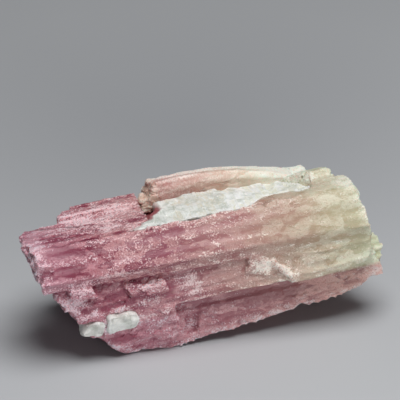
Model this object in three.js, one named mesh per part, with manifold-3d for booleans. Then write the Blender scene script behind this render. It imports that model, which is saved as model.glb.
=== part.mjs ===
// Rough bicolour tourmaline (rubellite) with white albite, lying on its broken underside.
//
// The main crystal is a bundle of tourmaline prisms grown side by side into one piece. It is
// ribbed along its length and snapped off at both ends. Along the top, a seam of white albite
// fills the trough between the bundle and a smaller crystal at the back. Two grains of albite
// sit in sockets low on the front, near the pink end.
//
// Millimetres. The crystals are shaped in the bundle's own frame: x along the prisms, from the
// pink end to the green end, y from front to back, z up. Then the bundle is tipped on its foot,
// cut flat where it rests, and centred over the origin.

import * as THREE from "three";
import { mergeVertices } from "three/addons/utils/BufferGeometryUtils.js";
import Module from "manifold-3d";

const wasm = await Module();
wasm.setup();

// ---- Driving dimensions -------------------------------------------------------------------

const TIP = THREE.MathUtils.degToRad(4.65); // how far the green end is lifted off the ground
const REST_HEIGHT = -0.95; // where the ground cuts the tipped foot
const GAP = 0.3; // clearance between two minerals
const RIB_PITCH = 2.3; // mean spacing of the ribs along a prism's open faces
const RIB_DEPTH = 0.2; // depth of the furrows between them
const STATION = 6; // spacing of the cross-sections along a prism
const WAVER = 0.14; // how far an edge strays between cross-sections
const SPLINTER = 0.5; // how far the broken ends splinter along the prisms

// ---- Solids -------------------------------------------------------------------------------

// A repeatable number from -1 to 1 for a seed.
const chance = (seed) => {
  const value = Math.sin(seed * 127.1 + 311.7) * 43758.5453;
  return 2 * (value - Math.floor(value)) - 1;
};

// A closed three.js geometry as a solid.
function solid(geometry) {
  const bare = geometry.clone();
  bare.deleteAttribute("normal");
  bare.deleteAttribute("uv");
  const merged = mergeVertices(bare, 1e-4);
  return new wasm.Manifold(
    new wasm.Mesh({
      numProp: 3,
      vertProperties: new Float32Array(merged.attributes.position.array),
      triVerts: new Uint32Array(merged.index.array),
    }),
  );
}

// A solid as a three.js geometry.
function geometryOf(shape) {
  const mesh = shape.getMesh();
  const geometry = new THREE.BufferGeometry();
  geometry.setAttribute("position", new THREE.BufferAttribute(mesh.vertProperties, 3));
  geometry.setIndex(new THREE.BufferAttribute(mesh.triVerts, 1));
  return geometry;
}

const joined = (shapes) => shapes.reduce((whole, shape) => whole.add(shape));
const without = (shape, tools) => tools.reduce((left, tool) => left.subtract(tool), shape);

// Moves every corner of a geometry by a function that changes the vector it is given.
function moved(geometry, move) {
  const place = geometry.attributes.position;
  const corner = new THREE.Vector3();
  for (let i = 0; i < place.count; i++) {
    move(corner.fromBufferAttribute(place, i));
    place.setXYZ(i, corner.x, corner.y, corner.z);
  }
  return geometry;
}

// An outline whose first sides, the open faces, are divided into ribs with furrows between.
function ribbed(outline, faces, seed) {
  const points = [];
  outline.forEach(([y, z], side) => {
    points.push([y, z]);
    if (side >= faces) return;
    const [nextY, nextZ] = outline[(side + 1) % outline.length];
    const length = Math.hypot(nextY - y, nextZ - z);
    const inward = [-(nextZ - z) / length, (nextY - y) / length];
    const parts = 2 * Math.max(1, Math.round(length / RIB_PITCH));
    for (let part = 1; part < parts; part++) {
      const share = (part + 0.35 * chance(seed + part + 7 * side)) / parts;
      const depth = part % 2 ? RIB_DEPTH * (1 + 0.8 * chance(seed - part - 5 * side)) : 0;
      points.push([
        y + (nextY - y) * share + inward[0] * depth,
        z + (nextZ - z) * share + inward[1] * depth,
      ]);
    }
  });
  return points;
}

// A prism of the bundle: an outline of [y, z] points, anticlockwise as seen from the green end,
// run along x. Each end is [place at the outline's first point, lean with z, lean with y].
// The outline's first sides, as many as open, are ribbed faces; the hackle is how far the broken
// ends splinter; the bend lifts points by an amount for their x and z.
function prism(seed, outline, from, to, { open = 0, hackle = SPLINTER, bend = () => 0 } = {}) {
  const points = ribbed(outline, open, seed).map(([y, z]) => new THREE.Vector2(y, z));
  const shape = new THREE.Shape(points);
  const steps = Math.max(1, Math.round((to[0] - from[0]) / STATION));
  const geometry = new THREE.ExtrudeGeometry(shape, { depth: 1, steps, bevelEnabled: false });
  const [firstY, firstZ] = outline[0];
  const end = ([at, perZ = 0, perY = 0], y, z, own) =>
    at + perZ * (z - firstZ) + perY * (y - firstY) + hackle * chance(own);
  moved(geometry, (p) => {
    const [y, z, along] = [p.x, p.y, p.z];
    const own = seed + 12.9 * y + 78.2 * z;
    const station = Math.round(along * steps);
    p.x = end(from, y, z, own) * (1 - along) + end(to, y, z, own + 1) * along;
    p.y = y + WAVER * chance(own + 3 * station);
    p.z = z + WAVER * chance(own + 5 * station + 1) + bend(p.x, z);
  });
  return solid(geometry);
}

// A cleavage block with its corners out of true, turned about the y axis, or the hollow of one.
function block(seed, [x, y, z], [length, depth, height], turn, grow = 0) {
  const box = new THREE.BoxGeometry(length, depth, height);
  moved(box, (p) => {
    const own = seed + 5.3 * Math.sign(p.x) + 9.7 * Math.sign(p.y) + 3.1 * Math.sign(p.z);
    p.x += 0.16 * length * chance(own) + grow * Math.sign(p.x);
    p.y += 0.16 * depth * chance(own + 1) + grow * Math.sign(p.y);
    p.z += 0.16 * height * chance(own + 2) + grow * Math.sign(p.z);
  });
  return solid(box.rotateY(turn).translate(x, y, z));
}

// ---- The bundle ---------------------------------------------------------------------------

// The front, from the top down: prisms over each other in bands that spread toward the green end.
const spread = (x, z) => -0.034 * (x + 33) * Math.max(0, 1 - Math.abs(z - 19) / 8);
const upperBand = [
  prism(
    2,
    [[9, 26.2], [3.2, 26.6], [2.2, 25.9], [0.7, 24.3], [8, 23]],
    [-34.6, -0.1],
    [31.8, -0.2],
    { open: 3 },
  ),
  prism(
    3,
    [[1.0, 24.8], [-1.0, 22.4], [6, 21.5], [7, 25]],
    [-34.6, -0.3],
    [32.2, -0.2],
    { open: 1, bend: spread },
  ),
  prism(
    4,
    [[-0.9, 22.8], [-1.9, 21.3], [-1.0, 18.7], [6, 18], [6, 22.8]],
    [-34.7, -0.4],
    [32.6, -0.2],
    { open: 2, bend: spread },
  ),
];
// The lower edge of the middle band curves up toward the green end.
const rise = (x, z) =>
  0.0089 * Math.max(0, x - 18) ** 2 * THREE.MathUtils.clamp((13.5 - z) / 3.5, 0, 1);
const middleBand = [
  prism(
    5,
    [[0.6, 19.2], [0.3, 18], [-0.3, 16.3], [8, 16], [8, 19.5]],
    [-31.5, -0.2],
    [33.0],
    { open: 2, bend: spread },
  ),
  prism(
    6,
    [[-0.2, 16.7], [-1.0, 13.9], [8, 13.5], [8, 17]],
    [-30.6, -0.3],
    [33.3],
    { open: 1, bend: spread },
  ),
  prism(
    7,
    [[-0.9, 14.2], [-1.6, 10.8], [0.6, 9.9], [8, 9.8], [8, 14.2]],
    [-29.4, -0.5],
    [33.7],
    { open: 2, bend: rise },
  ),
  prism(
    16,
    [[-0.8, 17.9], [-1.5, 16], [-1.6, 13.8], [3, 13.5], [3, 18]],
    [16, 0, -6],
    [33.4],
    { open: 2 },
  ),
];
const ledges = [
  prism(8, [[-0.6, 17.0], [-1.9, 16.2], [-1.8, 14.6], [1, 14], [1, 17.6]], [-17.6, -0.4], [-9.6, -0.3]),
  prism(
    9,
    [[-1.4, 14.0], [-2.3, 12], [-2.1, 10.1], [1, 9.5], [3, 13.6]],
    [17.2, 0.4],
    [33.4, -0.2],
    { open: 2, bend: rise },
  ),
];

// The underside breaks away behind the foot and climbs toward the green end.
const climb = (x, z) =>
  (x > -6 ? 1.6 + 0.09 * (x - 4) + 0.3 * Math.max(0, x - 29) : 0) * Math.max(0, 1 - z / 8);
const foot = [
  prism(10, [[2.4, 11.5], [2.2, 9.5], [1.2, 6.6], [8, 6.4], [8, 12]], [-14], [36.6, 0.1], { open: 2 }),
  prism(
    17,
    [[1.4, 12.2], [0.7, 9.2], [0.3, 6.2], [8, 6.2], [8, 12.4]],
    [20, 0, -4],
    [34, -0.4, -0.1],
    { open: 2 },
  ),
  prism(11, [[1.3, 7.0], [0.5, 3.4], [8, 3.2], [8, 7.2]], [-12], [35.4, 0.4], { open: 1, bend: climb }),
  prism(12, [[0.6, 3.8], [0.4, -0.6], [8, -0.8], [8, 4]], [-11], [34, 0.5], { open: 2, bend: climb }),
];
const footPink = [
  prism(13, [[-1.5, 11], [-1.3, 6.9], [6, 6.8], [6, 11.4]], [-27.2, -0.4], [-7.9], { open: 1 }),
  prism(14, [[-1.3, 7.3], [-0.9, 3.1], [6, 3], [6, 7.4]], [-24.6, -0.8], [-7.2], { open: 1 }),
  prism(
    15,
    [[-0.9, 3.5], [0.2, 0.9], [2.4, -1.2], [6, -1.2], [6, 3.5]],
    [-21.4, -1.1, -0.35],
    [-8.3],
    { open: 2 },
  ),
];

// The top behind the upper band: prisms that stop where the albite begins, and ridges at the
// green end.
const shelf = [
  prism(
    21,
    [[11.8, 25.9], [7, 26.3], [6.5, 20], [11.5, 20]],
    [-34.8, -0.3, 0.1],
    [-9, 0, 0.2],
    { open: 1 },
  ),
  prism(
    22,
    [[14.8, 25.2], [11.2, 25.9], [10.5, 19], [14.6, 19]],
    [-33.6, -0.3, 0.3],
    [-9, 0, 0.2],
    { open: 1 },
  ),
  prism(
    23,
    [[17.8, 26.0], [14.6, 26.5], [13.5, 18], [17.6, 18]],
    [-25.0, -0.1, 0.5],
    [-9, 0, 0.2],
    { open: 1 },
  ),
  prism(
    24,
    [[20.9, 24.6], [18.8, 26.2], [16.8, 25.7], [16.5, 16], [21, 17]],
    [-21.4, -0.1, 0.5],
    [-9],
    { open: 2 },
  ),
];
const greenRidge = [
  prism(
    31,
    [[13.6, 26.2], [10.4, 27.5], [9.4, 26.7], [8.5, 18], [14, 18]],
    [21.0, 1.2],
    [28.4, -0.3, -0.2],
    { open: 2 },
  ),
  prism(
    32,
    [[20, 21.9], [15.5, 25.0], [12.7, 26.2], [12.5, 16], [20.5, 16]],
    [18.0, 0.6],
    [28.2, -0.2, -0.2],
    { open: 2 },
  ),
];

// The heart that the others are grown onto. Its prisms snapped at different places, so both
// ends are stepped.
const heart = [
  prism(40, [[2, 10], [3, 3], [17, 3], [20, 5], [21, 18], [20, 21], [3, 21]], [-23, -0.4], [30]),
  prism(41, [[5, 24.8], [3, 17], [20, 17], [19, 24.4]], [-28, -0.2, 0.3], [-9]),
  prism(42, [[5, 24.8], [3, 17], [20, 17], [19, 22.2]], [16], [30.5]),
];
const REACH = 2.7; // half the width of a heart prism
for (const y of [6, 10.4, 14.8, 18.6]) {
  for (const z of [5.6, 9.8, 14, 18.2]) {
    const seed = 50 + 3.7 * y + 11.3 * z;
    const [front, rear, low, high] = [y - REACH, y + REACH, z - REACH, z + REACH];
    const section = [[front, high], [front, low], [rear, low], [rear, high]];
    const pinkEnd = -31 + 0.55 * Math.max(0, 16 - z) + 0.14 * y + 1.1 * chance(seed);
    const greenEnd = 33.4 - 0.07 * y - 0.5 * Math.max(0, 8 - z) + 1.1 * chance(seed + 1);
    const lean = 0.15 * chance(seed + 2);
    heart.push(prism(seed, section, [pinkEnd, lean - 0.3], [greenEnd, lean + 0.1], { bend: climb }));
  }
}

// The back, and the keel underneath that the green end leans on.
const back = [
  prism(
    43,
    [[16, -0.4], [19.5, 0.8], [21.6, 5.4], [17, 7]],
    [-18.5, -0.8],
    [31.4, 0.2],
    { open: 2, bend: climb },
  ),
  prism(44, [[21.6, 5.0], [23.6, 9.6], [19, 12], [17, 5]], [-24.4, -0.2], [33.2], { open: 1 }),
  prism(45, [[23.9, 9.4], [23.2, 15.4], [18, 16], [18, 9.4]], [-26.6, -0.2], [32.2], { open: 1 }),
  prism(46, [[22.9, 15.2], [21.6, 21.2], [18, 22], [18, 15]], [-25.4], [30.2], { open: 1 }),
  prism(
    47,
    [[5, -0.4], [18, -0.4], [18, 4], [5, 4]],
    [-19.5, -0.8],
    [31, 0.6],
    { open: 1, bend: climb },
  ),
  prism(
    48,
    [[9.5, -0.2], [11, -3.2], [15.5, -3.2], [17, 0], [16, 4], [10, 4]],
    [-16, -0.6],
    [15.5, 0.8],
    { open: 2 },
  ),
];

// Lumps standing a little proud of the front, and places where it has chipped away. Each is
// [seed, middle, size, turn about the y axis].
const lumps = [
  [91, [-26.2, -0.7, 17.5], [5.4, 1.8, 2.0], 0.1],
  [92, [10.6, -0.5, 15.2], [6.2, 1.8, 3.2], 0.35],
  [93, [14.6, -1.1, 13.4], [1.6, 1.8, 6.4], -0.75],
  [94, [1.8, 1.9, 2.3], [6.6, 3.0, 2.0], 0.15],
  [95, [31.2, 0.8, 19.8], [2.8, 3.6, 2.6], 0.3],
  [96, [-9.4, -1.1, 10.2], [2.6, 1.8, 1.8], 0],
  [97, [-33.2, 1.2, 24.4], [3.2, 3.4, 2.0], 0.2],
].map((lump) => block(...lump));
const chips = [
  [101, [-26.6, -1.9, 13.2], [2.6, 2.2, 1.6], 0.2],
  [102, [-34.8, -1.6, 22.6], [2.6, 2.2, 1.0], 0.5],
  [103, [-15.4, -1.5, 2.6], [6.0, 2.2, 2.6], -0.1],
  [104, [-4.6, 0.4, 4.4], [2.6, 2.2, 4.4], 0.15],
  [105, [33.6, -2.2, 12.4], [3.6, 3.0, 2.4], -0.6],
  [106, [32.4, 8.4, 27.2], [4.2, 4.4, 3.0], 0.5],
  [107, [-28.0, 6.4, 26.9], [9.4, 1.0, 1.2], 0],
  [108, [-20.8, 13.2, 26.4], [12.0, 1.1, 1.6], 0],
  [109, [20.0, 1.0, 1.2], [5.0, 3.0, 2.4], 0.5],
].map((chip) => block(...chip));

const bundle = joined([
  ...upperBand,
  ...middleBand,
  ...ledges,
  ...foot,
  ...footPink,
  ...shelf,
  ...greenRidge,
  ...heart,
  ...back,
  ...lumps,
]);

// ---- The back crystal and the albite ------------------------------------------------------

const droop = (x, z) => (1.3 - 0.0082 * Math.max(0, x) ** 2) * ((z - 23.3) / 3);
const backCrystal = joined([
  prism(
    51,
    [[20.4, 25.2], [19, 26.8], [16.3, 27.1], [15.6, 26.4], [15.5, 23.3], [20.4, 23.3]],
    [-6.8, 0.4],
    [24.2, -1.0],
    { open: 4, bend: droop },
  ),
  prism(52, [[19, 25.4], [15.9, 25.7], [15.3, 23.3], [19.5, 23.3]], [-8.6], [-4], { open: 2 }),
]);
const backBed = prism(
  53,
  [[20.9, 23], [20.9, 40], [14.7, 40], [14.7, 22.65], [20.9, 22.65]],
  [-9.5],
  [27.2, -1.0],
  { hackle: 0 },
);

// The trough steps back toward the green end, and both its ends are cut on a slant.
const albite = joined([
  prism(60, [[7, 26.2], [4.2, 26.2], [5.2, 22], [7, 22]], [-9.4, 0, 1.55], [-5.5], { hackle: 0 }),
  prism(
    61,
    [[12, 25.9], [8.5, 26.3], [6.8, 26.2], [6.8, 22], [13, 21]],
    [-6.6, 0, 0.55],
    [-4, 0.1],
    { hackle: 0 },
  ),
  prism(62, [[14.8, 25.2], [9.5, 26.4], [4.2, 26.2], [5.2, 22], [13, 21], [14.8, 21]], [-6.5], [0]),
  prism(63, [[14.8, 25.4], [8.5, 26.5], [4.2, 26.2], [5.2, 22], [13, 21], [14.8, 21]], [-0.9], [6, 0.2]),
  prism(64, [[14.8, 25.0], [10, 26.3], [4.2, 26.1], [5.2, 22], [13, 21], [14.8, 21]], [5], [10]),
  prism(65, [[14.8, 24.6], [11, 25.6], [7.3, 26.1], [7.6, 22], [13, 21], [14.8, 21]], [9.4], [15.2]),
  prism(66, [[7.6, 26.1], [4.2, 26.1], [5.2, 22], [7.6, 22]], [9.4], [13.9, 0, 1.2], { hackle: 0 }),
  prism(
    67,
    [[14.8, 24.0], [10, 25.2], [7.3, 25.7], [7.6, 22], [13, 21], [14.8, 21]],
    [13.6],
    [19.2, 0.9, -0.4],
    { hackle: 0 },
  ),
  prism(68, [[20.4, 22.3], [13, 22.3], [13, 21], [20.4, 21.3]], [-8], [17], { hackle: 0 }),
]);
const albiteBeds = [
  prism(
    71,
    [[15.5, 40], [6.75, 40], [6.75, 21.5], [13, 20.4], [15.5, 20.4]],
    [-9.2, 0, 0.1],
    [34.0, 0.9, -0.4],
    { hackle: 0 },
  ),
  prism(
    72,
    [[7.2, 40], [3.65, 40], [3.65, 24.5], [4.6, 21.5], [7.2, 21.4]],
    [-9.9, 0, 1.55],
    [14, 0, 1.2],
    { hackle: 0 },
  ),
  prism(73, [[30, 22.9], [12, 22.9], [12, 20.4], [30, 20.4]], [-8.6], [17.6], { hackle: 0 }),
];

const grains = {
  albite_grain_left: [81, [-24.5, 0.2, 8.8], [3.8, 4.0, 2.8], 0.25],
  albite_grain_right: [82, [-19.0, -0.3, 9.4], [5.2, 4.0, 3.0], 0.1],
};
const sockets = Object.values(grains).map((grain) => block(...grain, GAP));

// ---- Set down -----------------------------------------------------------------------------

const ground = new THREE.BoxGeometry(120, 80, 20).translate(0, 10, REST_HEIGHT - 10).rotateY(TIP);
const mainCrystal = without(bundle, [...chips, backBed, ...albiteBeds, ...sockets, solid(ground)]);

const group = new THREE.Group();
const tipped = new THREE.Matrix4().makeRotationY(-TIP);
const node = (name, shape, colour, roughness) => {
  const material = new THREE.MeshStandardMaterial({ color: colour, roughness, metalness: 0 });
  const mesh = new THREE.Mesh(geometryOf(shape).applyMatrix4(tipped), material);
  mesh.name = name;
  group.add(mesh);
};
node("main_crystal", mainCrystal, 0xc27f8e, 0.45);
node("back_crystal", backCrystal, 0xd9a79a, 0.45);
node("albite_seam", albite, 0xe6e8e4, 0.5);
for (const [name, grain] of Object.entries(grains)) node(name, block(...grain), 0xdfe2e2, 0.5);

const extent = new THREE.Box3().setFromObject(group);
const middle = extent.getCenter(new THREE.Vector3());
for (const mesh of group.children) mesh.position.set(-middle.x, -middle.y, -extent.min.z);

export default group;
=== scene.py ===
import itertools
import math

import bmesh
import bpy
import numpy as np
from mathutils import Matrix, Vector


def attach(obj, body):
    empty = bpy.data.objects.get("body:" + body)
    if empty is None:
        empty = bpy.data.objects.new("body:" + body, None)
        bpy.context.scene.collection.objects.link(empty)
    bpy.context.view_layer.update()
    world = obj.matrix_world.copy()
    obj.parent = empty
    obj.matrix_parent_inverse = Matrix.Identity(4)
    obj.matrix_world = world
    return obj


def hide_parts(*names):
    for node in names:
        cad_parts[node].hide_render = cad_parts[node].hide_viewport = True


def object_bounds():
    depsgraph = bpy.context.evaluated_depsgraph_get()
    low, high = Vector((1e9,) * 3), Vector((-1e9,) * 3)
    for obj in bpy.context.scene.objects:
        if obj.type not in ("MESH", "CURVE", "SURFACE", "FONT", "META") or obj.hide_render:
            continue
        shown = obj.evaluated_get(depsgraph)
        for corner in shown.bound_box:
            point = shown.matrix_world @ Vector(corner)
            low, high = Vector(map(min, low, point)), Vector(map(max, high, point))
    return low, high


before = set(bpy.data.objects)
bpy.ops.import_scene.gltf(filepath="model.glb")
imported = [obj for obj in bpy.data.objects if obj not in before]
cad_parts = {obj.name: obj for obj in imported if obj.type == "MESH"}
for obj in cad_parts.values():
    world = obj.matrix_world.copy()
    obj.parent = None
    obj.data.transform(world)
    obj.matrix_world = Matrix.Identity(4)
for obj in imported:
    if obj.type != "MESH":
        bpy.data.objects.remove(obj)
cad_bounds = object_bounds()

# ---- The main crystal -----------------------------------------------------------------------
# A bundle of tourmaline prisms grown side by side, pink at one end and pale green at the other.
# Its faces are ribbed along the prisms, and wherever it snapped the stone is rough and sugary.

MM = 0.001
MERGE = 1e-6  # m, how close points are that are one
TIP = math.radians(4.65)  # how far the green end of the prisms is lifted
FOOT = np.array([0.9009, -10.8009, 0.9500])  # where the bundle's own frame starts, mm
# The middles of the two albite blocks low on the front, in that frame.
LEFT, RIGHT = (-24.5, 0.2, 8.8), (-19.0, -0.3, 9.4)


def in_bundle(points):
    """Places in the bundle's own frame in mm, x along the prisms: shifted to the foot and
    turned back about y by the tip."""
    x, y, z = (points / MM - FOOT).T
    return np.stack(
        [x * math.cos(TIP) + z * math.sin(TIP), y, z * math.cos(TIP) - x * math.sin(TIP)], axis=1
    )


def regular(node, name, cell):
    """A copy of a CAD node: its loose triangles are merged, and the surface is laid out again
    in even quads of this size, fine enough to be roughened."""
    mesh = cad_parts[node].data.copy()
    whole = bmesh.new()
    whole.from_mesh(mesh)
    bmesh.ops.remove_doubles(whole, verts=whole.verts, dist=MERGE)
    whole.to_mesh(mesh)
    whole.free()
    piece = bpy.data.objects.new(name, mesh)
    bpy.context.scene.collection.objects.link(piece)
    remesh = piece.modifiers.new("even quads", "REMESH")
    remesh.mode = "VOXEL"
    remesh.voxel_size = cell * MM
    graph = bpy.context.evaluated_depsgraph_get()
    fine = bpy.data.meshes.new_from_object(piece.evaluated_get(graph))
    piece.modifiers.clear()
    piece.data = fine
    fine.name = name
    fine.materials.clear()
    largest(fine)
    return piece


def largest(mesh):
    """Deletes whatever isn't joined to the largest body: each point takes the lowest number
    among its neighbours, over and over, until every body has one number."""
    ends = np.empty(2 * len(mesh.edges), np.int32)
    mesh.edges.foreach_get("vertices", ends)
    a, b = ends.reshape(-1, 2).T
    label = np.arange(len(mesh.vertices))
    while True:
        lower = label.copy()
        np.minimum.at(lower, a, label[b])
        np.minimum.at(lower, b, label[a])
        lower = lower[lower]
        if np.array_equal(lower, label):
            break
        label = lower
    stray = np.flatnonzero(label != np.bincount(label).argmax())
    body = bmesh.new()
    body.from_mesh(mesh)
    body.verts.ensure_lookup_table()
    bmesh.ops.delete(body, geom=[body.verts[int(index)] for index in stray], context="VERTS")
    body.to_mesh(mesh)
    body.free()


def points_of(mesh):
    """The points of the mesh, one to a row, in m."""
    points = np.empty(3 * len(mesh.vertices), np.float32)
    mesh.vertices.foreach_get("co", points)
    return points.reshape(-1, 3).astype(float)


def place(mesh, points):
    """Puts the points back into the mesh, and returns the new directions outward."""
    mesh.vertices.foreach_set("co", points.astype(np.float32).ravel())
    mesh.update()
    outward = np.empty(3 * len(mesh.vertices), np.float32)
    mesh.vertex_normals.foreach_get("vector", outward)
    return outward.reshape(-1, 3).astype(float)


def smoothed(values, edges, rounds):
    """Values drawn halfway to the mean of their neighbours along the edges, so many times."""
    size = len(values)
    a, b = edges.T
    neighbours = np.maximum(np.bincount(edges.ravel(), minlength=size), 1)
    for _ in range(rounds):
        total = [
            np.bincount(a, column[b], size) + np.bincount(b, column[a], size)
            for column in values.T
        ]
        values = 0.5 * (values + np.stack(total, axis=1) / neighbours[:, None])
    return values


def chance(cells, seed):
    """A repeatable number from 0 to 1 for each row of whole numbers: their products with
    large primes, mixed bit by bit."""
    x, y, z = cells.astype(np.int64).T
    mixed = (x * 73856093) ^ (y * 19349663) ^ (z * 83492791) ^ (seed * 40503081)
    mixed = ((mixed ^ (mixed >> 15)) * 1274126177) & 0x7FFFFFFF
    mixed = ((mixed ^ (mixed >> 13)) * 668265263) & 0x7FFFFFFF
    return ((mixed ^ (mixed >> 16)) & 0xFFFFFF) / 0xFFFFFF


def waves(places, size, seed):
    """Smooth noise from -1 to 1: chance numbers at the corners of a lattice of this size,
    blended by the smoothstep of the place within its cell."""
    scaled = places / size
    base = np.floor(scaled)
    share = scaled - base
    share = share * share * (3 - 2 * share)
    total = np.zeros(len(places))
    for corner in itertools.product((0, 1), repeat=3):
        weight = np.prod(np.where(corner, share, 1 - share), axis=1)
        total += weight * chance(base + corner, seed)
    return 2 * total - 1


def facets(places, size, seed, tilt=1.0):
    """Broken facets, about -1 to 1: space is split into the cells nearest to one point
    jittered in each box of this size, and each cell has its own level and its own slope."""
    scaled = places / size
    base = np.floor(scaled)
    nearest = np.full(len(places), np.inf)
    level = np.zeros(len(places))
    for step in itertools.product((-1, 0, 1), repeat=3):
        cell = base + step
        jitter = np.stack([chance(cell, seed + k) for k in (1, 2, 3)], axis=1)
        offset = scaled - cell - jitter
        distance = (offset**2).sum(axis=1)
        slope = 2 * np.stack([chance(cell, seed + k) for k in (4, 5, 6)], axis=1) - 1
        own = 2 * chance(cell, seed + 7) - 1 + 2 * tilt * (slope * offset).sum(axis=1)
        closer = distance < nearest
        nearest = np.where(closer, distance, nearest)
        level = np.where(closer, own, level)
    return level / (1 + tilt)


def rise(values, start, end):
    """0 at the start and 1 at the end, evenly between them and level past them."""
    return np.clip((values - start) / (end - start), 0, 1)


def near(places, middle, reach):
    """1 at the middle, falling to 0 over a reach in x, y and z, as a smooth hump."""
    distance = np.sqrt((((places - middle) / reach) ** 2).sum(axis=1))
    share = np.clip(1 - distance, 0, 1)
    return share * share * (3 - 2 * share)


def note(mesh, name, values):
    """Keeps a number, or three, for each point of the mesh, for the material to read."""
    kind, key = ("FLOAT", "value") if values.ndim == 1 else ("FLOAT_VECTOR", "vector")
    mesh.attributes.new(name, kind, "POINT").data.foreach_set(
        key, values.astype(np.float32).ravel()
    )


MELTING, FINE, BROAD = 80, 6, 40  # rounds of smoothing


def roughen(piece, carve, rounding=2, melt=None):
    """Softens the edges a little, or more where melt of the place says so, and moves each point
    along its outward direction by carve of its place and direction in the bundle, in mm. Notes
    how far it then stands proud of, or sunk below, the surface smoothed a little and a lot.
    Returns the places and the directions."""
    mesh = piece.data
    edges = np.empty(2 * len(mesh.edges), np.int32)
    mesh.edges.foreach_get("vertices", edges)
    edges = edges.reshape(-1, 2)
    sharp = points_of(mesh)
    soft = smoothed(sharp, edges, rounding)
    if melt:
        share = melt(in_bundle(soft))[:, None]
        soft = soft * (1 - share) + smoothed(soft, edges, MELTING) * share
    outward = place(mesh, soft)
    smooth_outward = smoothed(outward, edges, 2)
    smooth_outward /= np.linalg.norm(smooth_outward, axis=1, keepdims=True)
    places = in_bundle(soft)
    turned = in_bundle(soft + smooth_outward * MM) - places
    depth = carve(places, turned)
    rough = soft + smooth_outward * depth[:, None] * MM
    rough[:, 2] = np.maximum(rough[:, 2], cad_bounds[0].z)
    outward = place(mesh, rough)
    fine = ((rough - smoothed(rough, edges, FINE)) * smooth_outward).sum(axis=1) / MM
    broad = ((rough - smoothed(rough, edges, BROAD)) * smooth_outward).sum(axis=1) / MM
    note(mesh, "fine", fine)
    note(mesh, "broad", broad)
    note(mesh, "along", places)
    return places, turned


def crests(q, pitch=1.75):
    """Rows along the prisms, 1 on each crest line and 0 midway between two: the angle round a
    line inside the bundle, as mm on an arc, cut into steps of the pitch, and straying slowly."""
    radius, middle_y, middle_z = 12, 11, 13
    around = radius * np.arctan2(q[:, 2] - middle_z, q[:, 1] - middle_y)
    around = around + 0.7 * waves(q, (24, 7, 7), 16) + 0.16 * waves(q, (4, 2, 2), 17)
    step = around / pitch
    return 1 - 2 * np.abs(step - np.round(step))


def cleft(q, start, end, width):
    """1 along a line from start to end, falling to 0 at the width on either side."""
    start, end = np.array(start), np.array(end)
    run = end - start
    share = np.clip((q - start) @ run / (run @ run), 0, 1)
    away = np.linalg.norm(q - start - share[:, None] * run, axis=1)
    return np.clip(1 - away / width, 0, 1)


def wear_and_painted_light(q, spots, seams):
    """Smooth humps, each [place in the bundle, reach, strength], and beads along lines, each
    [start, end, width, strength], broken up by waves. Above 0 the stone is worn to white sugar,
    and below it one sees into clear stone. Some humps and lines stand partly for painted light
    or painted shade, as marked beside them."""
    total = sum(strength * near(q, middle, reach) for middle, reach, strength in spots)
    beads = 0.6 + 0.9 * waves(q, (1.0, 0.9, 0.9), 21)
    total = total + beads * sum(strength * cleft(q, *line) for *line, strength in seams)
    return total * (0.85 + 0.5 * waves(q, (1.6, 1.0, 1.0), 15))


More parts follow.
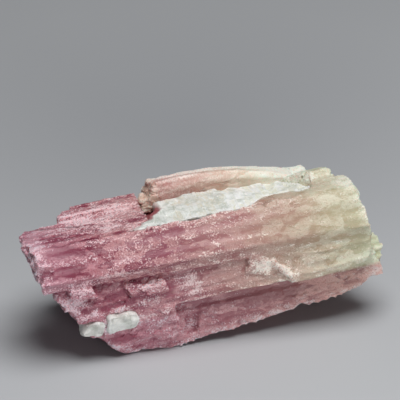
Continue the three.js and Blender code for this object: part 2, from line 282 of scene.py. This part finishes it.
SPOTS = [
    ((10.9, -1.2, 15.2), (4.4, 3.0, 2.8), 2.2),  # the scuffed block
    ((15.4, -1.8, 13.2), (3.0, 3.0, 4.2), 1.4),  # the slanting ridge
    ((20.0, -1.0, 17.5), (3.2, 2.0, 1.0), 0.9),
    ((27.0, -1.2, 16.9), (2.6, 2.0, 1.2), 0.5),
    ((-12.4, -1.6, 16.4), (4.6, 2.5, 1.6), 1.6),  # blocks left of the middle
    ((-12.7, -1.3, 12.6), (4.2, 2.5, 1.7), 1.1),
    ((-3.8, -0.5, 14.0), (3.2, 3.0, 4.8), 1.2),
    ((18.0, -1.2, 14.5), (17.0, 3.5, 5.0), 0.45),  # the dull front below the green end
    ((-26.6, -1.4, 18.4), (4.4, 2.5, 1.6), 1.1),  # blocks under the pink end
    ((-27.2, -1.2, 16.2), (3.6, 2.5, 1.5), 1.4),
    # painted light: the low corner of the pink end is worn, and is also lightened where it faces
    # away from the light
    ((-28.6, -0.6, 15.2), (3.4, 3.0, 2.4), 1.6),
    ((-26.8, -1.2, 13.6), (3.0, 2.5, 3.4), 1.2),
    ((-16.0, -1.4, 9.4), (2.4, 2.2, 2.0), 1.4),  # crumbs round the albite blocks
    ((-21.8, -1.0, 9.0), (1.5, 2.2, 3.0), 1.2),
    ((-23.8, -1.3, 12.7), (2.2, 2.2, 2.0), 1.1),
    ((-18.9, -1.3, 12.2), (3.6, 2.2, 0.9), 1.1),
    ((-13.6, -1.3, 9.6), (3.0, 2.2, 1.2), 0.7),
    ((-11.2, -1.0, 7.3), (4.6, 2.6, 1.8), 1.0),
    ((-9.6, -1.5, 10.2), (2.0, 2.0, 1.2), 0.9),
    ((-35.0, 3.0, 21.5), (2.6, 9.0, 9.0), 1.2),  # the worn pink end, also painted lighter where its end faces away from the light
    ((-33.4, 4.0, 25.8), (4.0, 6.0, 5.0), 0.9),
    ((-32.6, 2.0, 19.6), (3.6, 6.0, 5.0), 0.5),
    ((-20.0, 12.0, 26.0), (15.0, 8.0, 4.0), 1.25),  # the pale shelf, and streaks on it
    ((-14.6, 14.5, 25.8), (4.0, 2.4, 2.0), 1.4),
    ((-23.4, 13.9, 25.8), (3.0, 1.8, 1.8), 1.3),
    ((-17.2, 7.2, 26.2), (3.6, 1.2, 1.6), 1.4),
    ((-18.0, 5.6, 26.3), (3.2, 1.4, 1.5), 1.3),
    ((-12.6, 5.0, 26.3), (4.6, 2.2, 1.6), 1.0),
    ((24.0, 10.5, 26.5), (3.0, 3.5, 2.0), 1.2),
    ((34.0, 0.4, 7.0), (3.4, 4.0, 3.4), 1.3),  # the worn tip of the foot, and pale patches
    ((28.5, 0.8, 8.0), (5.0, 2.5, 3.0), 0.6),
    ((-4.9, 1.4, 4.0), (4.0, 2.5, 2.5), 0.6),
    ((32.8, 4.0, 22.0), (3.4, 9.0, 9.0), 0.9),  # the worn green end
    ((30.2, 6.0, 26.5), (3.6, 5.0, 2.5), 1.4),
    ((26.0, 9.0, 26.8), (8.5, 6.0, 3.0), 0.35),
    ((21.8, 13.0, 25.5), (3.2, 4.5, 3.0), 1.3),  # the broken pink ends of the ridges
    ((18.0, -1.0, 22.0), (16.0, 7.0, 6.0), -0.5),  # the smooth green end
    ((12.0, 0.0, 7.6), (26.0, 5.0, 4.0), -0.7),  # the clear foot
    ((-29.2, 2.2, 25.8), (4.6, 1.9, 1.9), -2.4),  # clear stone near the pink end
    ((-24.2, 1.9, 25.0), (4.0, 1.6, 1.5), -1.0),
    ((-28.4, -0.7, 22.6), (4.6, 1.8, 1.8), -2.4),
    ((-24.4, -1.0, 22.2), (4.2, 1.6, 1.6), -1.0),
    ((-9.7, -0.5, 22.5), (4.0, 1.5, 1.4), -1.1),
    ((-2.8, -0.9, 22.1), (4.6, 1.5, 1.4), -1.3),
    ((-5.3, 1.8, 25.2), (2.0, 1.5, 1.4), -1.7),
    ((-4.5, 0.2, 23.2), (9.0, 2.0, 1.4), -0.5),
    ((-20.6, 0.3, 17.6), (6.0, 2.4, 1.7), -0.9),  # clear stone low on the front
    ((-19.3, -0.4, 15.2), (4.2, 2.2, 1.6), -1.0),
    ((-26.1, -1.2, 13.6), (1.9, 2.0, 1.5), -1.4),
    ((-21.9, -1.2, 12.9), (2.0, 2.0, 1.2), -1.5),
    ((-16.8, -1.2, 13.6), (2.8, 2.0, 1.1), -1.3),
    ((-9.5, -0.9, 14.2), (3.0, 2.0, 1.8), -0.9),
    ((-18.6, -1.0, 5.6), (3.6, 2.5, 2.4), -1.6),
    ((-9.2, 12.3, 24.2), (2.2, 3.0, 2.0), -1.8),  # the hollow beside the albite, darkened as painted shade
]
SEAMS = [
    ((-28.8, -1.2, 20.0), (-18.9, -1.6, 20.4), 0.9, 1.0),  # the lower edge of the upper band
    ((-18.9, -1.6, 20.2), (-6.5, -1.2, 18.8), 0.9, 0.9),
    ((-6.5, -1.2, 18.8), (18.9, -1.3, 18.4), 0.8, 0.9),
    ((-23.1, 3.0, 26.4), (-10.2, 1.6, 25.0), 0.7, 0.6),  # crests of the upper band
    ((-30.4, 0.5, 23.9), (-0.7, 0.2, 22.9), 0.7, 0.8),
    ((-8.0, -1.4, 10.6), (16.0, -1.5, 10.8), 0.7, 0.9),  # the lower edge of the middle band
    ((16.0, -2.0, 10.4), (33.0, -1.8, 12.6), 0.7, 0.8),
    ((-12.9, 2.9, 26.4), (12.0, 3.2, 26.4), 0.6, 0.9),  # the rim below the albite
    ((-26.5, -1.2, 7.5), (-20.5, -0.6, 3.6), 1.4, 1.2),  # the bottom edge of the foot: worn sugar, and a painted light rim along it
    ((-20.5, -0.6, 3.6), (-17.0, 0.6, 0.4), 1.6, 1.3),
    ((-17.0, 0.6, 0.4), (-8.0, 1.0, -0.6), 1.6, 1.3),
    ((-7.0, 0.8, 0.4), (34.0, 1.2, 4.8), 1.5, 1.4),
]
# Open clefts: cut into the stone, and darkened in the material with painted shade.
CLEFTS = [
    ((-32.5, 14.4, 25.4), (-28.0, 12.8, 25.5), 1.0),
    ((-28.0, 12.8, 25.5), (-23.3, 10.7, 25.9), 0.9),
    ((-16.5, 6.8, 26.2), (-12.1, 7.0, 25.4), 0.45),
]


def carve_bundle(q, turned):
    """Crests and long facets along the prisms where the stone is sound, blended into short
    facets where it has broken. To these come splinters on the shelf, sugar that is coarse where
    the stone is worn, crumbs along the rim, a lump broken flatter, and stone that closes in on
    the albite blocks, less the open clefts."""
    x, y, z = q.T
    ends = rise(np.abs(turned[:, 0]), 0.35, 0.65)
    low = rise(z, 13, 8) * rise(x, -4, -10)
    side = 0.6 * rise(z, 19, 17) * rise(x, -6, -12)
    broken = np.maximum.reduce([ends, 0.9 * low, side, 0.15 * rise(z, 18, 16)])
    calm = rise(z, 18, 19.5)
    # The crests die away on the smooth green end, and are fainter low on the front.
    rows = 0.08 * (1 - 0.9 * rise(x, 2, 16)) * (crests(q) - 0.5)
    rows *= (0.8 + 0.5 * waves(q, (8, 2, 2), 18)) * (1 - 0.6 * rise(z, 18, 17))
    long_facets = (0.1 - 0.06 * calm) * facets(q, (6.5, 2.6, 2.6), 20)
    short_facets = 0.32 * facets(q, (3.2, 2.0, 2.2), 30) + 0.16 * facets(q, (1.5, 1.1, 1.2), 40)
    on_shelf = rise(y, 8, 11) * rise(x, -7, -9) * (1 - ends)
    splinters = 0.16 * on_shelf * facets(q, (9.0, 0.9, 0.9), 45, 0.6)
    worn = np.clip(wear_and_painted_light(q, SPOTS, SEAMS), -0.6, 1)
    sugar = (0.05 + 0.05 * worn) * waves(q, (0.72, 0.68, 0.68), 13)
    open_clefts = np.maximum.reduce([cleft(q, *line) for line in CLEFTS])
    rim = cleft(q, (-12.9, 2.9, 26.4), (20.3, 3.4, 26.4), 1.2)
    lump = near(q, (-12.4, -1.6, 16.4), (6.5, 3.5, 2.6))
    sockets = near(q, LEFT, (5.0, 4.5, 4.5)) + near(q, RIGHT, (6.5, 4.5, 4.5))
    return (
        (1 - broken) * (rows + long_facets)
        + broken * short_facets
        + splinters
        + sugar
        + rim * (0.5 * facets(q, (2.2, 1.3, 1.3), 47) + 0.1)
        + np.clip(2 * sockets, 0, 1) * (0.25 + 0.15 * waves(q, (0.9, 0.8, 0.8), 57))
        + lump * (0.7 * facets(q, (2.6, 2.0, 1.3), 52, 0.6) - 0.5)
        - 0.6 * open_clefts
    )


def melted(q):
    """How far the edges are melted. The broad upper faces are nearly smooth, above all toward
    the green end, and so is the worn corner low at the pink end."""
    x, y, z = q.T
    upper = 0.35 + 0.6 * rise(x, 2, 14)
    for part in (
        rise(x, 31, 28),
        rise(x, -31, -28),
        rise(z + 2.5 * rise(x, 0, 10), 18.5, 20.5),
        rise(y, 9, 7),
        # The rim beside the albite stays sharp.
        1 - 0.9 * rise(y, 1.6, 2.4) * rise(x, 21, 19),
    ):
        upper = upper * part
    return upper + 0.5 * rise(z, 14, 12) * rise(x, -8, -11)


BUNDLE_CELL = 0.315  # mm
bundle = regular("main_crystal", "tourmaline_bundle", BUNDLE_CELL)
places, _ = roughen(bundle, carve_bundle, rounding=5, melt=melted)
x, y, z = places.T
# Growth runs from 0 near the pink end to 1 near the green end. The core, which shows in the
# foot, stays pink all along, and it dulls the front below the upper band at the pink end.
PINK_END, LENGTH = -34, 70
ridges = 0.14 * rise(y, 9, 12) * rise(x, 14, 19)
note(bundle.data, "growth", np.clip((x - PINK_END) / LENGTH + ridges, 0, 1))
greyed = 0.45 * rise(z, 18.2, 17.2) * rise(x, 4, -4)
note(bundle.data, "core", np.maximum(rise(z, 9.3, 8.5), greyed))
# Worn white sugar and clear windows, with some patches of painted light and painted shade.
note(bundle.data, "frost_and_painted_light", wear_and_painted_light(places, SPOTS, SEAMS))
rows = crests(places) * (0.75 + 0.5 * waves(places, (7, 1.6, 1.6), 19))
rows *= 1 - 0.7 * rise(x, 4, 18)
note(bundle.data, "rows", rows * (1 - 0.6 * rise(z, 18, 17)))
# Painted shade: the open clefts are noted so that the material darkens them.
note(bundle.data, "cleft_shade", np.maximum.reduce([cleft(places, *line) for line in CLEFTS]))


def add(tree, kind, inputs=None, **settings):
    """A node with its settings, whose inputs are numbers or other nodes' outputs."""
    node = tree.nodes.new(kind)
    for key, value in settings.items():
        setattr(node, key, value)
    for key, value in (inputs or {}).items():
        if isinstance(value, bpy.types.NodeSocket):
            tree.links.new(value, node.inputs[key])
        else:
            node.inputs[key].default_value = value
    return node


def colour(red, green, blue):
    """A colour given as on a paint chart, 0 to 255, in linear light."""
    parts = [part / 255 for part in (red, green, blue)]
    return tuple(
        part / 12.92 if part < 0.04 else ((part + 0.055) / 1.055) ** 2.4 for part in parts
    ) + (1,)


def ramp(tree, value, stops):
    """Colours or greys blended between stops of a value."""
    node = add(tree, "ShaderNodeValToRGB", {"Fac": value})
    bar = node.color_ramp
    bar.elements.remove(bar.elements[1])
    for index, (position, shade) in enumerate(stops):
        element = bar.elements.new(position) if index else bar.elements[0]
        element.position = position
        element.color = shade if isinstance(shade, tuple) else (shade, shade, shade, 1)
    return node.outputs["Color"]


def sums(tree, operation, a, b, c=0.0):
    """Two or three numbers put through one sum, such as a times b plus c."""
    return add(tree, "ShaderNodeMath", {0: a, 1: b, 2: c}, operation=operation).outputs[0]


def blend(tree, share, a, b):
    """From colour a to colour b by the share."""
    return add(tree, "ShaderNodeMix", {0: share, 6: a, 7: b}, data_type="RGBA").outputs[2]


def stretched(tree, along, size):
    """The place along the bundle in mm, measured in steps of this size."""
    scale = tuple(1 / s for s in size)
    return add(
        tree, "ShaderNodeVectorMath", {0: along, 1: scale}, operation="MULTIPLY"
    ).outputs[0]


def mottle(tree, along, size, detail=2.0, rough=0.5):
    """Cloudy noise of this size in mm, about 0.5 on the whole."""
    place_in = stretched(tree, along, size)
    return add(
        tree,
        "ShaderNodeTexNoise",
        {"Vector": place_in, "Scale": 1.0, "Detail": detail, "Roughness": rough},
    ).outputs["Fac"]


def cells(tree, along, size, stray=0.7):
    """A grey for each irregular block of about this size, whose sides stray from straight."""
    scaled = stretched(tree, along, size)
    waver = add(tree, "ShaderNodeTexNoise", {"Vector": scaled, "Scale": 1.6, "Detail": 2.0})
    moved = add(
        tree,
        "ShaderNodeVectorMath",
        {0: waver.outputs["Color"], 1: (stray, stray, stray), 2: scaled},
        operation="MULTIPLY_ADD",
    ).outputs[0]
    block = add(tree, "ShaderNodeTexVoronoi", {"Vector": moved, "Scale": 1.0}).outputs["Color"]
    return add(tree, "ShaderNodeSeparateColor", {0: block}).outputs[0]


def blank(name):
    """A new material with no nodes yet, and its tree."""
    material = bpy.data.materials.new(name)
    material.use_nodes = True
    material.node_tree.nodes.clear()
    return material, material.node_tree


def noted(tree, key):
    """What note kept for each point, as a number."""
    return add(tree, "ShaderNodeAttribute", attribute_name=key).outputs["Fac"]


def along_bundle(tree):
    """The place that note kept for each point, in the bundle's own frame in mm."""
    return add(tree, "ShaderNodeAttribute", attribute_name="along").outputs["Vector"]


def tourmaline(name, clear, deep, frosted, core, haze=0.0, grit=1.0):
    """Cloudy tourmaline. Clear and deep are colours along the growth of the crystal, for its
    plain faces and for the windows where one sees into it; frosted is for its worn edges and
    for the patches painted lighter.
    Core gives the same three where its heart shows. Haze is how worn it is all over, and grit
    how strongly it is specked, which is less toward the green end."""
    material, tree = blank(name)
    along = along_bundle(tree)
    growth, fine, broad, frost_and_painted_light, rows = (
        noted(tree, key) for key in ("growth", "fine", "broad", "frost_and_painted_light", "rows")
    )
    drift = sums(tree, "SUBTRACT", mottle(tree, along, (9, 4, 4), 3.0), 0.5)
    hue = sums(tree, "MULTIPLY_ADD", drift, 0.2, growth)
    heart = noted(tree, "core")
    body, window, edge = (
        blend(tree, heart, ramp(tree, hue, stops), ramp(tree, growth, inner))
        for stops, inner in zip((clear, deep, frosted), core)
    )
    # Windows: blocks and soft patches between the crests, and whatever lies sunk.
    clouds = mottle(tree, along, (3.2, 1.5, 1.5), 3.0, 0.6)
    slabs, blocks, chips = (
        sums(tree, "SUBTRACT", cells(tree, along, size, stray), 0.5)
        for size, stray in (
            ((5.5, 3.6, 4.2), 0.7), ((3.6, 1.8, 1.8), 0.7), ((1.1, 0.7, 0.7), 0.3)
        )
    )
    sunk = sums(tree, "MULTIPLY_ADD", slabs, 0.3, clouds)
    sunk = sums(tree, "MULTIPLY_ADD", blocks, 0.42, sunk)
    sunk = sums(tree, "MULTIPLY_ADD", chips, 0.2, sunk)
    sunk = sums(tree, "MULTIPLY_ADD", broad, -0.4, sunk)
    sunk = sums(tree, "MULTIPLY_ADD", frost_and_painted_light, -0.28, sunk)
    sunk = sums(tree, "MULTIPLY_ADD", rows, -0.05, sunk)
    in_window = ramp(tree, sunk, [(0.36, 0.0), (0.66, 1.0)])
    shade = blend(tree, in_window, body, window)
    # Frost: specks, most of them on the crests and on proud edges, together with the patches of
    # painted light and painted shade noted on the stone.
    grain_size, patch_size, fleck_size = (0.34, 0.3, 0.3), (2.0, 1.1, 1.1), (0.27, 0.25, 0.25)
    grains = mottle(tree, along, grain_size, 2.0, 0.6)
    patches = mottle(tree, along, patch_size, 2.0, 0.6)
    worn = sums(tree, "MULTIPLY_ADD", fine, 2.0, sums(tree, "MULTIPLY", broad, 0.5))
    specks = sums(
        tree,
        "MULTIPLY",
        sums(tree, "SUBTRACT", grains, 0.5),
        ramp(tree, growth, [(0.5, 1.0), (0.85, 0.55)]),
    )
    worn = sums(tree, "MULTIPLY_ADD", specks, 5.0 * grit, worn)
    worn = sums(tree, "MULTIPLY_ADD", sums(tree, "SUBTRACT", patches, 0.5), 2.4 * grit, worn)
    worn = sums(tree, "MULTIPLY_ADD", chips, 0.6 * grit, worn)
    worn = sums(tree, "MULTIPLY_ADD", sums(tree, "SUBTRACT", rows, 0.5), 0.5, worn)
    worn = sums(tree, "ADD", sums(tree, "ADD", worn, frost_and_painted_light), haze)
    frost_and_light_share = ramp(tree, worn, [(0.15, 0.0), (0.55, 0.4), (1.1, 1.0)])
    shade = blend(tree, frost_and_light_share, shade, edge)
    # Dark flecks, finer than the grains.
    flecks = mottle(tree, along, fleck_size, 1.0)
    shade = blend(tree, ramp(tree, flecks, [(0.32, 0.7), (0.42, 0.0)]), shade, window)
    # Painted shade: the open clefts darkened to a dark red.
    cleft_shade = ramp(tree, noted(tree, "cleft_shade"), [(0.2, 0.0), (0.8, 0.85)])
    shade = blend(tree, cleft_shade, shade, colour(104, 58, 68))
    bumps = add(
        tree,
        "ShaderNodeBump",
        {"Strength": 0.6, "Distance": 0.00014, "Height": sums(tree, "ADD", grains, flecks)},
    ).outputs["Normal"]
    surface = add(
        tree,
        "ShaderNodeBsdfPrincipled",
        {
            "Base Color": shade,
            "Roughness": ramp(tree, frost_and_light_share, [(0.0, 0.3), (1.0, 0.55)]),
            "IOR": 1.62,
            "Specular IOR Level": 0.3,
            "Subsurface Weight": 0.5,
            "Subsurface Radius": (1.0, 0.5, 0.5),
            "Subsurface Scale": 0.0014,
            "Normal": bumps,
        },
    )
    add(tree, "ShaderNodeOutputMaterial", {"Surface": surface.outputs[0]})
    return material


stone = tourmaline(
    "cloudy tourmaline",
    clear=[
        (0.0, colour(196, 144, 157)),
        (0.12, colour(181, 115, 126)),
        (0.28, colour(193, 141, 143)),
        (0.4, colour(185, 137, 137)),
        (0.58, colour(190, 152, 144)),
        (0.74, colour(200, 180, 161)),
        (0.86, colour(210, 203, 180)),
        (0.98, colour(212, 213, 190)),
    ],
    deep=[
        (0.0, colour(162, 96, 114)),
        (0.12, colour(124, 34, 62)),
        (0.36, colour(146, 76, 91)),
        (0.58, colour(172, 122, 118)),
        (0.74, colour(178, 148, 128)),
        (0.86, colour(184, 170, 140)),
        (0.98, colour(186, 186, 154)),
    ],
    frosted=[
        (0.0, colour(238, 204, 214)),
        (0.36, colour(238, 207, 206)),
        (0.6, colour(246, 232, 223)),
        (0.9, colour(236, 234, 219)),
    ],
    core=[
        [(0.3, colour(196, 140, 151)), (0.9, colour(204, 164, 154))],
        [(0.3, colour(160, 90, 107)), (0.9, colour(156, 110, 106))],
        [(0.3, colour(226, 204, 212)), (0.9, colour(216, 200, 196))],
    ],
)
bundle.data.materials.append(stone)
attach(bundle, "root")
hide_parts("main_crystal")

# ---- The back crystal -----------------------------------------------------------------------
# A smaller, paler crystal lying behind the albite, with a tan knob at its pink end.
# It grew with the rest, so it is sunk a little into its bed.

BACK_CELL = 0.25  # mm
back = regular("back_crystal", "back_crystal_peach", BACK_CELL)
places, turned = roughen(
    back,
    # Out by 0.3 mm, and more at both ends, where it reaches for its neighbours, with long waves
    # and facets along it, small facets on the knob, and fine sugar.
    lambda q, turned: 0.3
    + 0.5 * np.clip(np.abs(turned[:, 0]), 0, 1)
    + 0.08 * waves(q, (12, 0.9, 0.9), 61)
    + 0.1 * facets(q, (6, 1.4, 1.4), 62)
    + 0.2 * rise(q[:, 0], -4, -5.5) * facets(q, (1.1, 1.0, 0.9), 63)
    + 0.06 * waves(q, (0.7, 0.6, 0.6), 69),
    melt=lambda q: 0.35 * rise(q[:, 0], -3.6, -5.1),
)
x, y, z = places.T
note(back.data, "growth", rise(x, -9, 21))
note(back.data, "core", rise(x, -5, -6.5))
# Its upward-facing top edge is worn white and also painted lighter as light from above, its pale
# end is worn white, and so are thin streaks along its front.
# Painted light: this mask takes the faces turned upward.
edge = rise(turned[:, 2], 0.5, 0.9) * rise(y, 17, 18.5)
streaks = waves(places, (14, 0.55, 0.5), 64) + 0.5 * waves(places, (5, 0.9, 0.9), 65)
note(back.data, "frost_and_painted_light", 0.9 * edge + 0.34 * streaks + 0.5 * rise(x, 14, 17))
note(back.data, "rows", crests(places, 1.1))
# The back crystal has no clefts, so it has no painted shade in them.
note(back.data, "cleft_shade", np.zeros(len(places)))
peach = tourmaline(
    "peach tourmaline",
    clear=[
        (0.0, colour(182, 134, 126)),
        (0.2, colour(195, 152, 144)),
        (0.5, colour(210, 181, 165)),
        (0.8, colour(236, 226, 208)),
        (1.0, colour(244, 239, 226)),
    ],
    deep=[
        (0.0, colour(166, 114, 106)),
        (0.2, colour(184, 132, 126)),
        (0.5, colour(200, 162, 146)),
        (0.8, colour(226, 214, 192)),
    ],
    frosted=[(0.0, colour(236, 214, 208)), (0.8, colour(244, 241, 228))],
    core=[
        [(0.0, colour(222, 188, 170))],
        [(0.0, colour(176, 140, 124))],
        [(0.0, colour(230, 210, 196))],
    ],
    haze=0.15,
    grit=0.3,
)
back.data.materials.append(peach)
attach(back, "root")
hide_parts("back_crystal")

# ---- The albite -----------------------------------------------------------------------------
# White feldspar: a seam in the trough along the top, and two grains low on the front.
# It splits in blocky steps, and is a greenish grey where it is clearer.


def albite(name):
    """White feldspar. Grey is how dull it is, and red_and_shade how red, deepest where it is
    painted shade in the hollow; along it the tone changes from off-white through dull cream to
    bright white, in upright bands."""
    material, tree = blank(name)
    along = along_bundle(tree)
    fine, grey, red_and_shade = (noted(tree, key) for key in ("fine", "grey", "red_and_shade"))
    # The run goes from 0 a little inside the seam's pink end to 1 a little inside the other.
    start, length = -10, 28  # mm
    run = add(tree, "ShaderNodeSeparateXYZ", {0: along}).outputs["X"]
    run = sums(tree, "MULTIPLY_ADD", run, 1 / length, -start / length)
    bands = sums(tree, "SUBTRACT", mottle(tree, along, (1.1, 9, 9), 2.0, 0.6), 0.5)
    blocks = sums(tree, "SUBTRACT", cells(tree, along, (1.8, 3.0, 3.0)), 0.5)
    shift = sums(tree, "MULTIPLY_ADD", blocks, 0.3, sums(tree, "MULTIPLY_ADD", bands, 1.3, run))
    tone = ramp(
        tree,
        shift,
        [
            (0.0, colour(238, 239, 234)),
            (0.1, colour(222, 225, 218)),
            (0.22, colour(234, 235, 231)),
            (0.36, colour(218, 217, 204)),
            (0.44, colour(226, 219, 200)),
            (0.52, colour(224, 226, 219)),
            (0.7, colour(250, 250, 248)),
            (0.95, colour(236, 234, 214)),
        ],
    )
    tone = blend(tree, grey, tone, colour(196, 188, 184))
    clouds = mottle(tree, along, (2.0, 1.4, 1.4), 3.0, 0.6)
    tone = blend(
        tree, ramp(tree, clouds, [(0.35, 0.7), (0.55, 0.0)]), tone, colour(186, 192, 182)
    )
    grains = mottle(tree, along, (0.5, 0.45, 0.45), 3.0, 0.7)
    worn = sums(tree, "MULTIPLY_ADD", fine, 1.4, grains)
    worn = sums(tree, "MULTIPLY_ADD", run, 0.12, worn)
    tone = blend(
        tree, ramp(tree, worn, [(0.55, 0.0), (0.85, 1.0)]), tone, colour(248, 248, 244)
    )
    # Painted shade and red: the end of the seam is tinted a dark red, deepest in the hollow.
    tone = blend(tree, red_and_shade, tone, colour(150, 82, 86))
    surface = add(
        tree,
        "ShaderNodeBsdfPrincipled",
        {
            "Base Color": tone,
            "Roughness": 0.5,
            "IOR": 1.53,
            "Subsurface Weight": 0.5,
            "Subsurface Radius": (1.0, 0.95, 0.9),
            "Subsurface Scale": 0.0015,
            "Normal": add(
                tree,
                "ShaderNodeBump",
                {"Strength": 0.3, "Distance": 0.0001, "Height": grains},
            ).outputs["Normal"],
        },
    )
    add(tree, "ShaderNodeOutputMaterial", {"Surface": surface.outputs[0]})
    return material


def chipped(q, middle, planes):
    """How far each place stands out past the planes that its corners broke along, each [way
    it faces, distance from the middle], in mm."""
    out = np.zeros(len(q))
    for way, distance in planes:
        way = np.array(way) / np.linalg.norm(way)
        out = np.maximum(out, (q - middle) @ way - distance)
    return out


LEFT_CHIPS = [((-6, -4, 7), 1.6), ((-7, -4, -6), 2.0), ((5, -6, -7), 1.9), ((6, -7, 5), 2.2)]
RIGHT_CHIPS = [
    ((6, -5, 7), 2.3),
    ((-6, -6, -5), 2.7),
    ((8, -6, -4), 2.6),
    ((-5, -8, 5), 2.5),
    ((10, -2, 6), 2.5),
    ((10, -2, -7), 2.4),
]

SWELL = 0.6  # mm
white = albite("white albite")
for node, name, cell, press, lid, split, grey, middle, planes in (
    ("albite_seam", "albite_filling", 0.25, 0.0, 1.0, 0.24, 0.0, (0, 0, 0), []),
    ("albite_grain_left", "albite_block_left", 0.18, 0.2, 0.2, 0.12, 0.4, LEFT, LEFT_CHIPS),
    ("albite_grain_right", "albite_block_right", 0.18, 0.2, 0.2, 0.12, 0.0, RIGHT, RIGHT_CHIPS),
):
    piece = regular(node, name, cell)
    places, _ = roughen(
        piece,
        # Swollen at the sides and, less the lid, on top until it meets the tourmaline, but
        # less to the front, where the blocks are pressed flat, and split in upright bands.
        lambda q, turned: SWELL
        * np.clip(1 - lid * (turned[:, 2] + 0.4 * turned[:, 2] ** 3), 0, 1)
        * np.clip(1 + 0.4 * turned[:, 1], 0, 1)
        * (0.8 + 0.8 * waves(q, (1.8, 1.6, 1.6), 75))
        + split * facets(q, (2.2, 3.0, 2.6), 70)
        + 0.12 * waves(q, (1.3, 6.0, 5.0), 72)
        + 0.06 * waves(q, (1.0, 0.9, 0.9), 74)
        + 0.04 * waves(q, (0.6, 0.55, 0.55), 89)
        - press * rise(turned[:, 1], -0.6, -0.9)
        - 0.8 * chipped(q, middle, planes),
    )
    x, y, z = places.T
    note(piece.data, "grey", np.full(len(places), grey))
    # The end of the seam, past a slanting line, is painted a dark red, deepest in the hollow, as
    # tourmaline red and painted shade; and red shows through the tops of the blocks a little.
    past = 1.15 * (y - 7.8) - (x + 8.2) + 0.5 * waves(places, (1.2, 1.0, 1.0), 91)
    hollow = np.clip(past / 0.5, 0, 1) * rise(x, -6, -7) * rise(z, 20, 22)
    tops = 0.15 * rise(z, 9.5, 11) * rise(z, 18, 16)
    note(piece.data, "red_and_shade", tops + hollow * (0.4 + 0.6 * rise(y, 6.5, 7.5)))
    piece.data.materials.append(white)
    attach(piece, "root")
    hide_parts(node)

# ---- The studio -----------------------------------------------------------------------------
# A pale grey sheet under the stone, a large soft light above and a little in front, and a
# weaker one low in front.

bpy.ops.mesh.primitive_plane_add(size=4, location=(0, 0, cad_bounds[0].z))
floor = bpy.context.object
floor.name = "floor"
sheet = bpy.data.materials.new("grey sheet")
sheet.use_nodes = True
tree = sheet.node_tree
surface = tree.nodes["Principled BSDF"]
surface.inputs["Roughness"].default_value = 0.85
spread = tree.nodes.new("ShaderNodeTexCoord").outputs["Object"]
# Painted shade: the sheet is a shade darker behind the stone than round it, as the light falling
# off away from the lamps.
painted_falloff_middle = (0.022, 0.08, 0)
away = add(
    tree, "ShaderNodeVectorMath", {0: spread, 1: painted_falloff_middle}, operation="DISTANCE"
).outputs["Value"]
tone = ramp(
    tree,
    away,
    [(0.0, colour(162, 164, 168)), (0.07, colour(182, 184, 187)), (0.14, colour(192, 194, 197))],
)
tree.links.new(tone, surface.inputs["Base Color"])
floor.data.materials.append(sheet)

world = bpy.data.worlds.new("studio")
world.use_nodes = True
world.node_tree.nodes["Background"].inputs["Color"].default_value = (0.9, 0.95, 1, 1)
world.node_tree.nodes["Background"].inputs["Strength"].default_value = 0.05
bpy.context.scene.world = world


def softbox(name, place, aim, size, power):
    """A round soft lamp at a place in m, turned to another, with its width in m and its power
    in W."""
    light = bpy.data.lights.new(name, "AREA")
    light.shape = "DISK"
    light.size = size
    light.energy = power
    lamp = bpy.data.objects.new(name, light)
    lamp.location = place
    lamp.rotation_euler = (Vector(aim) - Vector(place)).to_track_quat("-Z", "Y").to_euler()
    bpy.context.scene.collection.objects.link(lamp)


softbox("key", (0.03, -0.1, 0.42), (0, 0, 0.01), 0.3, 1.68)
softbox("fill", (0.15, -0.5, 0.05), (0, 0, 0.015), 0.1, 0.8)

# The camera stands in front, a little to the left and above, and looks past the foot.
azimuth, elevation, distance = math.radians(-16), math.radians(28), 0.6
aside, upward = -0.0032, 0.0278
behind = Vector(
    (
        math.sin(azimuth) * math.cos(elevation),
        -math.cos(azimuth) * math.cos(elevation),
        math.sin(elevation),
    )
)
right = Vector((math.cos(azimuth), math.sin(azimuth), 0))
above = behind.cross(right)
aim = Vector(FOOT * MM) + aside * right + upward * above
camera = bpy.data.objects.new("camera", bpy.data.cameras.new("camera"))
camera.data.lens = 270
camera.data.sensor_width = 36
camera.data.clip_start = 0.01
camera.matrix_world = Matrix.Translation(aim + distance * behind) @ Matrix(
    (right, above, behind)
).transposed().to_4x4()
bpy.context.scene.collection.objects.link(camera)
bpy.context.scene.camera = camera
bpy.context.scene.view_settings.view_transform = "Standard"

bpy.context.view_layer.update()
